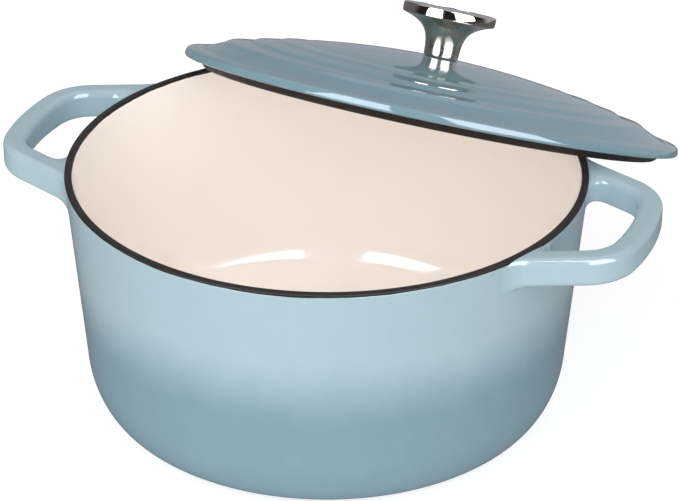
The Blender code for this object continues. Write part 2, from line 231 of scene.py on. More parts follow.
def moved(line, distance):
    """The line moved sideways by distance to the left of its direction, along the mean normal at each
    point."""
    step = np.diff(line, axis=0)
    normal = np.column_stack([-step[:, 1], step[:, 0]]) / np.linalg.norm(step, axis=1)[:, None]
    normal = np.concatenate([normal[:1], normal[:-1] + normal[1:], normal[-1:]])
    normal /= np.linalg.norm(normal, axis=1)[:, None]
    return line + normal * distance


def mm(points):
    """Points given in millimetres, in metres."""
    return np.asarray(points, float) * MM


# ---------------------------------------------------------------- meshes


def outward(points, faces):
    """The faces of one closed body, all turned round if the body's signed volume is negative."""
    first, second, third, last = (points[[face[k] for face in faces]] for k in (0, 1, 2, -1))
    volume = np.einsum("ij,ij->", first, np.cross(second, third) + np.cross(third, last))
    return faces if volume > 0 else [face[::-1] for face in faces]


def made(name, *bodies):
    """A mesh object at the origin from closed bodies, each a pair of points and faces."""
    starts = np.cumsum([0] + [len(points) for points, _ in bodies])
    faces = []
    for (points, own_faces), start in zip(bodies, starts):
        faces += [[number + start for number in face] for face in outward(points, own_faces)]
    mesh = bpy.data.meshes.new(name)
    mesh.from_pydata(np.concatenate([points for points, _ in bodies]).tolist(), [], faces)
    mesh.shade_smooth()
    mesh.set_sharp_from_angle(angle=SHARP)
    thing = bpy.data.objects.new(name, mesh)
    bpy.context.scene.collection.objects.link(thing)
    return thing


def grid_faces(ids):
    """The quads of a grid of point numbers, which wraps round in its second direction."""
    beside = np.roll(ids, -1, axis=1)
    return np.stack([ids[:-1], beside[:-1], beside[1:], ids[1:]], axis=-1).reshape(-1, 4)


def without_repeats(quads):
    """Quads as lists, where one whose two neighbouring corners are the same point becomes a triangle."""
    same = quads == np.roll(quads, -1, axis=1)
    whole = quads[~same.any(axis=1)].tolist()
    for k in range(4):
        whole += quads[same[:, k]][:, [j for j in range(4) if j != k]].tolist()
    return whole


def revolved(profile, around, change=None):
    """Points and faces of a profile swept round Z: (r cos a, r sin a, h) at equal angles a. A profile
    whose ends are on the axis closes in poles there, and any other is joined end to start. change(a, r,
    h) gives new r, h."""
    capped = profile[0, 0] == 0
    angle = np.arange(around) / around * TURN
    radius = profile[:, :1] + np.zeros(around)
    height = profile[:, 1:] + np.zeros(around)
    if change:
        radius, height = change(angle, radius, height)
    points = np.stack([radius * np.cos(angle), radius * np.sin(angle), height], axis=-1)
    ids = np.arange(points.shape[0] * around).reshape(-1, around)
    if capped:
        ids[0] = ids[0, 0]
        ids[-1] = ids[-1, 0]
    else:
        ids = np.concatenate([ids, ids[:1]])
    used, numbers = np.unique(grid_faces(ids), return_inverse=True)
    return points.reshape(-1, 3)[used], without_repeats(numbers.reshape(-1, 4))


def in_lid(points):
    """Points of the lid's own frame, its axis along Z, put where the lid is."""
    return LID_ORIGIN + points @ LID_FRAME.T


def on_lid(name, profile, around, change=None):
    """A turned piece on the lid's axis."""
    points, faces = revolved(filled(profile, FINEST), around, change)
    return made(name, (in_lid(points), faces))


# ---------------------------------------------------------------- pot


def side_radius(height):
    """Radius of the pot's outer face on its straight taper."""
    return RIM - OUTER_TAPER * (RIM_HEIGHT - height)


def pot_side(top, end):
    """The outer face from the height top down the taper and round a quarter ellipse to the angle end."""
    wide, tall = BASE_CORNER
    angle = np.linspace(0, end, 28)
    lean = OUTER_TAPER * tall * np.sin(angle) / 2
    radius = side_radius(tall) - wide * (1 - np.cos(angle)) - lean
    corner = np.column_stack([radius, tall * (1 - np.sin(angle))])
    return np.concatenate([[[side_radius(top), top]], corner])


def pot_inside(top):
    """The inner face from the height top down the taper, round the floor's corner and in to the axis."""
    rim = RIM - RIM_WIDTH
    corner = rim - INNER_TAPER * (RIM_HEIGHT - POT_FLOOR)
    start = rim - INNER_TAPER * (RIM_HEIGHT - top)
    return fillet([(start, top), (corner, POT_FLOOR), (0, POT_FLOOR)], [FLOOR_CORNER], 24)


def handle_line():
    """Middle line of a handle in plan from one bend to the other, as points and directions: straight arms
    that slant in, an arc of radius BEND at each corner and a grip bowed to the radius GRIP_BOW
    between."""
    peak = GRIP_REACH + GRIP_BOW * (1 / np.cos(GRIP_LEAN) - 1)
    corner = np.array([peak - GRIP_HALF * np.tan(GRIP_LEAN), GRIP_HALF])
    arm = np.array([np.cos(ARM_SLANT), -np.sin(ARM_SLANT)])
    turn = np.pi / 2 - ARM_SLANT - GRIP_LEAN
    bend_start = corner - arm * BEND * np.tan(turn / 2)
    angle = np.linspace(0, turn, 22)[:, None]
    right = np.array([arm[1], -arm[0]])
    bend = bend_start + BEND * (np.sin(angle) * arm + (1 - np.cos(angle)) * right)
    heading = np.cos(angle) * arm + np.sin(angle) * right
    bow = np.linspace(GRIP_LEAN, 0, 9)[:, None]
    grip = np.hstack([GRIP_REACH - GRIP_BOW * (1 - np.cos(bow)), GRIP_BOW * np.sin(bow)])
    points = np.concatenate([bend, grip])
    headings = np.concatenate([heading, np.hstack([np.sin(bow), -np.cos(bow)])])
    return points, headings, bend_start, arm


def bar_section(depth):
    """A handle's cross section, depth under its surface: a rectangle with round edges and a slightly
    crowned top, as (across, height) points and the outward normal at each."""
    half = BAR_WIDTH / 2
    low = BAR_TOP - BAR_HEIGHT
    shape = [(0, BAR_TOP), (half, BAR_TOP), (half, low), (-half, low), (-half, BAR_TOP), (0, BAR_TOP)]
    line = filled(fillet(shape, [BAR_EDGE] * 4, 9), 1.2 * MM)[:-1]
    line[:, 1] -= BAR_CROWN * (line[:, 0] / half) ** 2 * (line[:, 1] - low) / BAR_HEIGHT
    step = np.roll(line, -1, axis=0) - np.roll(line, 1, axis=0)
    normal = np.column_stack([-step[:, 1], step[:, 0]])
    normal /= np.linalg.norm(normal, axis=1)[:, None]
    return line - normal * depth, normal


def handle(depth, inside):
    """Points and faces of the right handle, depth under its surface. Its section is carried along
    handle_line. At a root each point of the section runs straight back along the arm to the wall, and on
    the last stretch it moves out by (1 - cos f) of the fillet's size while (1 - sin f) of its length is
    left, f from 0 to 90 degrees, so the bar leaves the wall in a fillet that touches both. The fillet is
    larger on the handle's inner side. It ends inside under the wall's face."""
    section, normal = bar_section(depth)
    points, headings, bend_start, arm = handle_line()
    across = np.column_stack([-headings[:, 1], headings[:, 0]])
    swept = points[:, None] + across[:, None] * section[None, :, :1]
    height = np.broadcast_to(section[None, :, 1:], (*swept.shape[:2], 1))
    half = np.concatenate([swept, height], axis=-1)

    side = np.array([-arm[1], arm[0]])
    turned = np.radians(np.linspace(0, 90, 19))
    left = np.concatenate([[1.0], 1 - np.sin(turned)])[:, None]
    spread = np.concatenate([[0.0], 1 - np.cos(turned)])[:, None]
    offset = section[:, 0] + spread * (ROOT_SIDE - ROOT_LEAN * normal[:, 0]) * normal[:, 0]
    level = section[:, 1] + spread * ROOT_UNDER * np.minimum(normal[:, 1], 0)
    start = bend_start + side * offset[..., None]
    along = start @ arm
    wall = side_radius(level) - inside - RIM_BITE * (level > BLUE_TOP)
    reach = along - np.sqrt(wall**2 - ((start**2).sum(axis=-1) - along**2))
    back = reach - left * (ROOT - ROOT_LEAN * normal[:, 0])
    back[0] = back[1] * 0.5
    root = np.concatenate([start - arm * back[..., None], level[..., None]], axis=-1)

    half = np.concatenate([root[::-1], half])
    body = np.concatenate([half, half[-2::-1] * np.array([1, -1, 1])])
    ids = np.arange(body.shape[0] * body.shape[1]).reshape(body.shape[:2])
    faces = grid_faces(ids).tolist() + [ids[0, ::-1].tolist(), ids[-1].tolist()]
    return body.reshape(-1, 3), faces


def both_handles(depth, inside):
    """The right handle, and the same turned half a turn about the pot's axis."""
    points, faces = handle(depth, inside)
    return (points, faces), (points * np.array([-1, -1, 1]), faces)


def uneven(angle, seed):
    """A hand-dipped edge: a sum of eight waves round the rim, finer ones lower, as heights about 0."""
    chance = np.random.default_rng(seed)
    size = EDGE_WAVE / np.sqrt(EDGE_WAVES) * chance.uniform(0.6, 1.2, len(EDGE_WAVES))
    phase = chance.uniform(0, TURN, len(EDGE_WAVES))
    return (size[:, None] * np.sin(EDGE_WAVES[:, None] * angle + phase[:, None])).sum(axis=0)


def dipped(seed):
    """A change for revolved that makes a coat's edge uneven: the last EDGE_FADE below the edge follows
    uneven."""

    def change(angle, radius, height):
        """The radius as it is, and the height raised by the edge's waves."""
        share = np.clip((height - BLUE_TOP) / EDGE_FADE + 1, 0, 1)
        return radius, height + share * uneven(angle, seed)

    return change


def lipped(face, back):
    """A coat's outline from the far end of its back, over its edge with a small round, and down its
    face."""
    edge = fillet([back[0], face[0], face[1]], [COAT_ROUND], 5)
    return np.concatenate([back[:0:-1], edge, face[2:]])


def pot_iron():
    """The bare casting: inner face, the rim's band with its two round edges, outer face and flat base.
    The band stands a little inside the coats' faces, and both handles have cores of their own."""
    under = COAT + SEAT
    inner = moved(filled(pot_inside(BLUE_TOP), FINEST), under)[::-1]
    outer = moved(filled(pot_side(BLUE_TOP, IRON_END), FINEST), -under)
    rim = RIM - RIM_WIDTH + BAND_INSET
    inner_foot = rim - INNER_TAPER * LIP_DEPTH
    outer_foot = side_radius(BLUE_TOP) - BAND_INSET
    band = [inner[-1], (inner_foot, BLUE_TOP), (rim, RIM_HEIGHT), (RIM - BAND_INSET, RIM_HEIGHT)]
    band += [(outer_foot, BLUE_TOP), outer[0]]
    band = fillet(band, BAND_ROUND)
    line = np.concatenate([inner[:-1], band, outer[1:], [(BASE_FLAT, 0), (0, 0)]])
    body = revolved(filled(line, FINEST), ROUND)
    return made("pot_iron", body, *both_handles(under, under))


def pot_blue_coat():
    """The coloured coat: a thin ring over the wall, and round each handle a body of its own that grows
    out of the wall in a fillet."""
    face = filled(pot_side(BLUE_TOP + COAT_OVER, COAT_END), FINEST)
    wall = revolved(lipped(face, moved(face, -COAT)), ROUND, dipped(seed=4))
    return made("pot_blue_coat", wall, *both_handles(0, TUCK))


def pot_cream_coat():
    """The pale coat over the inside of the wall and the floor."""
    face = filled(pot_inside(BLUE_TOP + COAT_OVER), FINEST)
    back = moved(face, COAT)
    return made("pot_cream_coat", revolved(lipped(face, back), ROUND, dipped(seed=9)))


# ---------------------------------------------------------------- lid


def dome(radius):
    """Height of the lid's face in its middle: a shallow paraboloid."""
    return DOME_HEIGHT - DOME_DROP * (radius / DOME_RADIUS) ** 2


def lid_face(start):
    """The lid's outer face: the dome, four stepped rings with soft edges, a shallow groove, and the
    raised lip, which is cut back a little on its way up and turns under the rim."""
    radius = np.linspace(start, DOME_RADIUS, 24)
    middle = np.column_stack([radius, dome(radius)])
    corners = np.concatenate([middle[-1:], mm(RING_EDGES), mm(LIP_EDGES), mm([(COAT_UNDER, UNDERSIDE)])])
    rings = fillet(corners, mm(RING_ROUND), 5)
    return np.concatenate([middle[:-1], rings])


def lid_ceiling(start):
    """The lid's inner face from the radius start out to the edge of its coat."""
    radius = np.linspace(start, DOME_RADIUS, 16)
    middle = np.column_stack([radius, dome(radius) - LID_WALL])
    middle[-1] = mm(CEILING_EDGES[0])
    rounds = [0] * (len(middle) - 1) + [CEILING_ROUND]
    return fillet(np.concatenate([middle, mm(CEILING_EDGES[1:])]), rounds)


def closed_coat(face, back):
    """The outline of a coat that ends square on both sides: out along its face and home along its
    back."""
    return np.concatenate([face, back[::-1]])


def lid_iron():
    """The lid's casting: under the coats all over, and bare on the locating rib and the ring inside
    it."""
    under = COAT + SEAT
    top = moved(filled(lid_face(HOLE), FINEST), -under)
    ceiling = moved(filled(lid_ceiling(HOLE), FINEST), under)
    bare = np.concatenate([top[-1:], mm(RIB_EDGES)[::-1], mm([RIB_FOOT]), ceiling[-1:]])
    bare = fillet(bare, mm(RIB_ROUND), 5)
    line = np.concatenate([top[:-1], bare, ceiling[-2::-1]])
    return on_lid("lid_iron", line, ROUND)


def lid_blue_coat():
    """The coloured coat over the lid's top, round its lip and under the flange."""
    face = filled(lid_face(HOLE + SEAT), FINEST)
    return on_lid("lid_blue_coat", closed_coat(face, moved(face, -COAT)), ROUND)


def lid_cream_coat():
    """The pale coat inside the lid, up to the rib."""
    face = filled(lid_ceiling(HOLE + SEAT), FINEST)
    return on_lid("lid_cream_coat", closed_coat(face, moved(face, COAT)), ROUND)


# ---------------------------------------------------------------- knob


def through(points, steps=8):
    """A smooth curve through points: between two of them a cubic whose slopes are half the step from the
    point before to the point after (Catmull and Rom)."""
    points = np.asarray(points, float)
    padded = np.concatenate([2 * points[:1] - points[1:2], points, 2 * points[-1:] - points[-2:-1]])
    a, b, c, d = padded[:-3], padded[1:-2], padded[2:-1], padded[3:]
    t = (np.arange(steps) / steps)[:, None, None]
    curve = b + t * (c - a) / 2 + t**2 * (2 * a - 5 * b + 4 * c - d) / 2 + t**3 * (3 * (b - c) + d - a) / 2
    return np.concatenate([curve.transpose(1, 0, 2).reshape(-1, 2), points[-1:]])


def raised(line, height):
    """The profile moved along the axis by height."""
    return np.asarray(line, float) + np.array([0, height])


def knob_pressing():
    """Hollow steel pressing: a foot with a small round, a waisted stem that flares out into a disc, and
    round the disc a crowned band with soft edges. Its wall follows the outside."""
    stem = through(mm(STEM))
    band = fillet(np.concatenate([stem[-1:], mm(BAND)]), mm(BAND_CORNERS), 8)
    outside = np.concatenate([stem[:-1], band])
    inside = moved(filled(stem[STEM_FOOT:], FINEST), KNOB_WALL)
    seat = (CAP + 0.1 * MM, outside[-1, 1])
    line = np.concatenate([outside, [seat, (seat[0], inside[-1, 1] + 2 * MM)], inside[::-1]])
    line = np.concatenate([[(BUSH, 0)], line, [(BUSH, inside[0, 1])]])
    return on_lid("knob_pressing", raised(line, FOOT), KNOB_ROUND)


def knob_disc():
    """Slightly crowned disc with a short skirt that closes the knob's top."""
    top = BAND[-1][1] * MM
    skirt = CAP - KNOB_WALL
    corners = [(0, top + 0.15 * MM), (CAP, top - 0.05 * MM), (CAP, top - 3 * MM), (skirt, top - 3 * MM)]
    corners += [(skirt, top - KNOB_WALL), (0, top - KNOB_WALL)]
    return on_lid("knob_disc", raised(fillet(corners, mm([0.3, 0.2, 0.2, 0.4])), FOOT), KNOB_ROUND)


def ring(inner, outer, low, high, edge):
    """Outline of a ring with rounded outer edges."""
    corners = [(inner, low), (outer, low), (outer, high), (inner, high)]
    return fillet(corners, [edge, edge], 5)


def knob_bush():
    """Threaded bush pressed into the knob's foot."""
    outline = ring(SCREW + 0.1 * MM, BUSH - 0.05 * MM, FOOT, FOOT + 14 * MM, 0.3 * MM)
    return on_lid("knob_bush", outline, KNOB_ROUND)


def plain_washer():
    """Stamped washer, its outer edges rounded by the die."""
    outline = ring(SCREW + 0.2 * MM, 6 * MM, WASHER - 1 * MM, WASHER, 0.25 * MM)
    return on_lid("plain_washer", outline, KNOB_ROUND)


def split_washer():
    """Spring washer: a square section carried round an arc that stops short of a full turn and rises a
    little."""
    section = ring(SCREW + 0.2 * MM, 5.3 * MM, -SPLIT_SIZE, SPLIT_SIZE, 0.15 * MM)
    angle = np.linspace(SPLIT, TURN - SPLIT, 90)[:, None]
    rise = WASHER - 2 * MM + SPLIT_RISE * (angle / TURN - 0.5)
    radius, height = section[:, 0], section[:, 1] + rise
    points = np.stack([radius * np.cos(angle), radius * np.sin(angle), height], axis=-1)
    ids = np.arange(points.shape[0] * points.shape[1]).reshape(points.shape[:2])
    faces = grid_faces(ids).tolist() + [ids[0, ::-1].tolist(), ids[-1].tolist()]
    return made("split_washer", (in_lid(points.reshape(-1, 3)), faces))


def screw():
    """Machine screw: a domed head with a hexagon socket, and its shank up through the lid."""
    top, low = HEAD_TOP, HEAD_TOP - HEAD_HEIGHT
    deep, end = low + SOCKET_DEPTH, top + SHANK
    head = [(0, deep), (SOCKET, deep), (SOCKET, low), (SOCKET_EDGE, low), (HEAD, low + HEAD_SLOPE)]
    head += [(HEAD, top), (SCREW, top), (SCREW, end), (0, end)]
    line = fillet(head, mm([0.1, 0.2, 0.4, 0.9, 0.2, 0.2, 0.4]))

    def hexagonal(angle, radius, height):
        """In the socket the radius of a hexagon: its flat's distance over the cosine from the flat's middle."""
        flat = np.cos(np.pi / 6) / np.cos(angle % (np.pi / 3) - np.pi / 6)
        in_socket = (radius < SOCKET_LIMIT) & (height < top)
        return np.where(in_socket, radius * flat, radius), height

    return on_lid("screw", line, KNOB_ROUND, hexagonal)


# ---------------------------------------------------------------- materials


MIX_FIRST, MIX_SECOND, MIX_RESULT = 6, 7, 2  # a Mix node's colour sockets; a Map Range's limits are 1 to 4
OMBRE = (53 * MM, 96 * MM)  # heights where the pot's deep colour ends and its pale one is full
SATIN = (11 * MM, 17 * MM)  # heights over the knob's foot where its brushed stem goes over to the disc


def paint(code):
    """An sRGB hex colour as linear red, green, blue and alpha."""
    share = np.array([int(code[k : k + 2], 16) for k in (1, 3, 5)]) / 255
    linear = np.where(share > 0.04045, ((share + 0.055) / 1.055) ** 2.4, share / 12.92)
    return (*linear.tolist(), 1.0)


def add(tree, kind, sockets=None, **settings):
    """A node with its settings; sockets gives a value, or another node's output, for each input."""
    node = tree.nodes.new("ShaderNode" + kind)
    for name, value in settings.items():
        setattr(node, name, value)
    for key, value in (sockets or {}).items():
        if isinstance(value, bpy.types.NodeSocket):
            tree.links.new(value, node.inputs[key])
        else:
            node.inputs[key].default_value = value
    return node


def finish_of(name, sockets):
    """A new material with its node tree, its shader, whose own sockets take the values, and object
    coordinates."""
    material = bpy.data.materials.new(name)
    material.use_nodes = True
    tree = material.node_tree
    shader = tree.nodes["Principled BSDF"]
    for key, value in sockets.items():
        shader.inputs[key].default_value = value
    place = add(tree, "TexCoord").outputs["Object"]
    return material, tree, shader, place


def per_metre(size):
    """Noise scale whose lumps are about as wide as size."""
    return 1 / size


def glaze(name, pale, deep, shade, bump, smooth=0.03, rough=0.08):
    """Fired glass enamel on iron: a deep wet gloss over colour that is a little cloudy, its face rippled
    like orange peel to the height bump, with a few fine pits. Its roughness is uneven, from smooth to
    rough. shade(tree, place) gives the share of the pale colour."""
    material, tree, shader, place = finish_of(name, {"IOR": 1.5})
    clouds = {"Vector": place, "Scale": per_metre(14 * MM), "Detail": 4.0, "Roughness": 0.6}
    cloud = add(tree, "TexNoise", clouds)
    share = add(tree, "MapRange", {"Value": cloud.outputs[0], 1: 0.3, 2: 0.7, 3: -0.06, 4: 0.06})
    share = add(tree, "Math", {0: shade(tree, place), 1: share.outputs[0]}, operation="ADD", use_clamp=True)
    blend = {"Factor": share.outputs[0], MIX_FIRST: deep, MIX_SECOND: pale}
    colour = add(tree, "Mix", blend, data_type="RGBA").outputs[MIX_RESULT]
    pits = add(tree, "TexVoronoi", {"Vector": place, "Scale": per_metre(7 * MM)}, feature="F1")
    pit = add(tree, "MapRange", {"Value": pits.outputs["Distance"], 1: 0.02, 2: 0.05, 3: 0.82, 4: 1.0})
    dark = add(tree, "VectorMath", {0: colour, "Scale": pit.outputs[0]}, operation="SCALE")
    tree.links.new(dark.outputs[0], shader.inputs["Base Color"])
    smear = add(tree, "TexNoise", {"Vector": place, "Scale": per_metre(30 * MM), "Detail": 3.0})
    uneven_gloss = {"Value": smear.outputs[0], 1: 0.35, 2: 0.7, 3: smooth, 4: rough}
    gloss = add(tree, "MapRange", uneven_gloss).outputs[0]
    tree.links.new(gloss, shader.inputs["Roughness"])
    peel = add(tree, "TexNoise", {"Vector": place, "Scale": per_metre(9 * MM), "Detail": 1.5})
    lift = add(tree, "Bump", {"Height": peel.outputs[0], "Distance": bump, "Strength": 1.0})
    tree.links.new(lift.outputs[0], shader.inputs["Normal"])
    return material


def ombre(tree, place):
    """Share of the pale colour on the pot: it was sprayed deep from below and pale from above."""
    height = add(tree, "SeparateXYZ", {0: place}).outputs["Z"]
    drift = add(tree, "TexNoise", {"Vector": place, "Scale": per_metre(60 * MM), "Detail": 2.0}).outputs[0]
    level = add(tree, "Math", {0: drift, 1: 8 * MM, 2: height}, operation="MULTIPLY_ADD").outputs[0]
    limits = {"Value": level, 1: OMBRE[0], 2: OMBRE[1], 3: 0.0, 4: 1.0}
    return add(tree, "MapRange", limits, interpolation_type="SMOOTHSTEP").outputs[0]


def half(tree, place):
    """A slow drift about the middle between two close shades."""
    return add(tree, "TexNoise", {"Vector": place, "Scale": per_metre(40 * MM), "Detail": 2.0}).outputs[0]


def cast_iron():
    """Sand cast iron, oiled and baked to a matte black: a fine sandy grain, with a faint brown bloom."""
    material, tree, shader, place = finish_of("seasoned_cast_iron", {"Specular IOR Level": 0.16})
    sand = {"Vector": place, "Scale": per_metre(0.9 * MM), "Detail": 5.0, "Roughness": 0.65}
    grain = add(tree, "TexNoise", sand)
    bloom = add(tree, "TexNoise", {"Vector": place, "Scale": per_metre(12 * MM), "Detail": 4.0})
    share = add(tree, "MapRange", {"Value": bloom.outputs[0], 1: 0.35, 2: 0.7})
    blend = {"Factor": share.outputs[0], MIX_FIRST: paint("#221f1d"), MIX_SECOND: paint("#2d2825")}
    colour = add(tree, "Mix", blend, data_type="RGBA").outputs[MIX_RESULT]
    tree.links.new(colour, shader.inputs["Base Color"])
    rough = add(tree, "MapRange", {"Value": grain.outputs[0], 1: 0.3, 2: 0.7, 3: 0.4, 4: 0.62})
    tree.links.new(rough.outputs[0], shader.inputs["Roughness"])
    lift = add(tree, "Bump", {"Height": grain.outputs[0], "Distance": 0.12 * MM, "Strength": 0.8})
    tree.links.new(lift.outputs[0], shader.inputs["Normal"])
    return material


def metal(name, colour, streak, smooth, rough, depth, satin=0.0):
    """Metal turned on a lathe: fine rings round the lid's axis, streak apart, which the eye sees as a
    faint drawn-out shine, with a slightly uneven polish. satin is how much rougher the stem is than the
    disc."""
    material, tree, shader, place = finish_of(name, {"Metallic": 1.0})
    centred = add(tree, "VectorMath", {0: place, 1: tuple(LID_ORIGIN)}, operation="SUBTRACT").outputs[0]
    axis = tuple(LID_AXIS)
    along = add(tree, "VectorMath", {0: centred, 1: axis}, operation="DOT_PRODUCT").outputs["Value"]
    length = add(tree, "VectorMath", {0: centred}, operation="LENGTH").outputs["Value"]
    where = add(tree, "CombineXYZ", {"X": along, "Y": length}).outputs[0]
    rings = add(tree, "TexNoise", {"Vector": where, "Scale": per_metre(streak), "Detail": 3.0}).outputs[0]
    cloud = add(tree, "TexNoise", {"Vector": place, "Scale": per_metre(6 * MM), "Detail": 3.0}).outputs[0]
    duller = tuple(0.92 * part for part in colour[:3]) + (1.0,)
    blend = {"Factor": cloud, MIX_FIRST: colour, MIX_SECOND: duller}
    tint = add(tree, "Mix", blend, data_type="RGBA").outputs[MIX_RESULT]
    tree.links.new(tint, shader.inputs["Base Color"])
    polish = add(tree, "MapRange", {"Value": cloud, 1: 0.3, 2: 0.7, 3: smooth, 4: rough}).outputs[0]
    limits = {"Value": along, 1: FOOT + SATIN[0], 2: FOOT + SATIN[1], 3: satin, 4: 0.0}
    brushed = add(tree, "MapRange", limits).outputs[0]
    gloss = add(tree, "Math", {0: polish, 1: brushed}, operation="ADD").outputs[0]
    tree.links.new(gloss, shader.inputs["Roughness"])
    lift = add(tree, "Bump", {"Height": rings, "Distance": depth, "Strength": 0.5})
    tree.links.new(lift.outputs[0], shader.inputs["Normal"])
    return material


# the pot's coat ripples most; the lid's is polished flatter, and the cream inside is a little less glossy
BLUE_ENAMEL = glaze("fired_ombre_enamel", paint("#b0c8d1"), paint("#85a3af"), ombre, 0.012 * MM)
LID_BLUES = (paint("#87a5b0"), paint("#7e9ca7"))
LID_ENAMEL = glaze("fired_slate_blue_enamel", *LID_BLUES, half, 0.001 * MM, 0.02, 0.05)
CREAMS = (paint("#fbf4ee"), paint("#f9f0e8"))
CREAM_ENAMEL = glaze("fired_cream_enamel", *CREAMS, half, 0.012 * MM, 0.1, 0.16)
IRON = cast_iron()
STEEL = metal("polished_stainless_steel", paint("#c8bbad"), 0.5 * MM, 0.04, 0.08, 0.001 * MM, 0.12)
ZINC = metal("bright_zinc_plate", paint("#b9bcc0"), 0.4 * MM, 0.22, 0.36, 0.01 * MM)

# ---------------------------------------------------------------- pieces on their bodies

# piece, its material, the body it rides on, the CAD node it stands for, and the record's slot
PIECES = (
    (pot_iron(), IRON, "pot", "pot_casting", "bare_iron"),
    (pot_blue_coat(), BLUE_ENAMEL, "pot", "pot_exterior_enamel", "pot_blue_enamel"),
    (pot_cream_coat(), CREAM_ENAMEL, "pot", "pot_interior_enamel", "cream_enamel"),
    (lid_iron(), IRON, "lid", "lid_casting", "bare_iron"),
    (lid_blue_coat(), LID_ENAMEL, "lid", "lid_exterior_enamel", "lid_blue_enamel"),
    (lid_cream_coat(), CREAM_ENAMEL, "lid", "lid_interior_enamel", "cream_enamel"),
    (knob_pressing(), STEEL, "lid", "knob_shell", "polished_steel"),
    (knob_disc(), STEEL, "lid", "knob_cap", "polished_steel"),
    (knob_bush(), ZINC, "lid", "knob_insert", "zinc_plated_steel"),
    (plain_washer(), ZINC, "lid", "flat_washer", "zinc_plated_steel"),
    (split_washer(), ZINC, "lid", "spring_washer", "zinc_plated_steel"),
    (screw(), ZINC, "lid", "knob_screw", "zinc_plated_steel"),
)
for piece, material, body, node, slot in PIECES:
    piece.data.materials.append(material)
    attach(piece, body)
    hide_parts(node)

# ---------------------------------------------------------------- studio

CAMERA_HEADING = 20.9
CAMERA_HEIGHT = 28.83
CAMERA_ROLL = 0.27
CAMERA_DISTANCE = 1.5132
LOOKED_AT = np.array([0.0134, -0.0167, 0.0909])
LENS = 160.7


def aimed(thing, right, back, place):
    """Put a camera or lamp at place, facing away from back, with right on its right side, and into the
    scene."""
    matrix = np.eye(4)
    matrix[:3, 0], matrix[:3, 1], matrix[:3, 2], matrix[:3, 3] = right, np.cross(back, right), back, place
    thing.matrix_world = Matrix(matrix.tolist())
    bpy.context.scene.collection.objects.link(thing)


def studio_camera():
    """Long lens above the rim, with the handles a little askew to it."""
    heading, tilt, roll = np.radians([CAMERA_HEADING, CAMERA_HEIGHT, CAMERA_ROLL])
    back = np.array([np.sin(heading) * np.cos(tilt), -np.cos(heading) * np.cos(tilt), np.sin(tilt)])
    right = np.array([np.cos(heading), np.sin(heading), 0])
    up = np.cross(back, right)
    rolled = np.cos(roll) * right + np.sin(roll) * up
    camera = bpy.data.objects.new("camera", bpy.data.cameras.new("camera"))
    camera.data.lens = LENS
    aimed(camera, rolled, back, LOOKED_AT + back * CAMERA_DISTANCE)
    bpy.context.scene.camera = camera


FLOOR_LEVEL = -0.3 * MM
FLOOR_HALF = 6.0
FLOOR_GLOW = 0.8  # the share of its light that shadows don't reach
FLOOR_PAINT = 0.36  # how pale its paper is


def floor():
    """White sweep a hair under the pot's base, evenly lit from behind. Mirrors and matte light pass
    through it, because the studio's own lower half stands for what they would see."""
    square = ((-1, -1), (1, -1), (1, 1), (-1, 1))
    corners = [(x * FLOOR_HALF, y * FLOOR_HALF, FLOOR_LEVEL) for x, y in square]
    mesh = bpy.data.meshes.new("floor")
    mesh.from_pydata(corners, [], [(0, 1, 2, 3)])
    sheet = bpy.data.objects.new("floor", mesh)
    bpy.context.scene.collection.objects.link(sheet)
    paper = {
        "Base Color": (FLOOR_PAINT, FLOOR_PAINT, FLOOR_PAINT, 1.0),
        "Roughness": 0.9,
        "Specular IOR Level": 0.0,
        "Emission Color": paint("#ffffff"),
        "Emission Strength": FLOOR_GLOW,
    }
    mesh.materials.append(finish_of("white_paper", paper)[0])
    sheet.visible_glossy = False
    sheet.visible_diffuse = False


def ramp(tree, value, low, high):
    """0 below low, 1 above high, smooth between; falling where low is above high."""
    start, end = float(low > high), float(low < high)
    limits = {"Value": value, 1: min(low, high), 2: max(low, high), 3: start, 4: end}
    return add(tree, "MapRange", limits, interpolation_type="SMOOTHSTEP").outputs[0]


def times(tree, *values):
    """The product of all values."""
    product = values[0]
    for value in values[1:]:
        product = add(tree, "Math", {0: product, 1: value}, operation="MULTIPLY").outputs[0]
    return product


def softbox(tree, heading, height, across, up, soft):
    """Brightness of a panel: 1 where the heading is in across and the height in up, both in degrees."""
    left, right = np.radians(across)
    low, high = np.radians(up)
    edge = np.radians(soft)
    sides = (ramp(tree, heading, left - edge, left + edge), ramp(tree, heading, right + edge, right - edge))
    ends = (ramp(tree, height, low - edge, low + edge), ramp(tree, height, high + edge, high - edge))
    return times(tree, *sides, *ends)


# ranges of heading and height in degrees as seen from the pot, with heading 0 towards the camera, then the
# softness of the edges in degrees and the brightness
SOFTBOXES = (
    ((-62, -21), (-5, 62), 1, 11.0),
    ((13, 61), (-5, 62), 1, 11.0),
)
ROOM = ((-0.35, 0.18), (-0.05, 0.03))  # height as an angle and brightness, below and above the horizon
REAR = (0.2, -0.3)  # where the rear half starts and is full, as the part of a direction towards the camera
BEHIND = (0.2, 0.62)  # brightness of the rear wall to the left and to the right
BEHIND_EDGE = 0.5  # the part of a direction to either side where those two are reached
BEHIND_FOOT = (-25, -18)  # degrees over which the rear wall starts
ROOF = 0.8
ROOF_EDGE = (62, 78)
OVER_THE_BACK = 1.0
OVER_EDGE = (30, 42)
MIRRORED_TINT = (0.94, 0.98, 1.1, 1.0)  # daylight in the room that mirrors see
FROM_BELOW = 0.44  # soft light from every side, below and above the horizon
FROM_ABOVE = 0.42
HORIZON = 0.3  # the part of a direction up or down where those two are reached
KEY = 1.17  # soft light from one wide direction on top of it
KEY_HEADING = -12
KEY_HEIGHT = 18


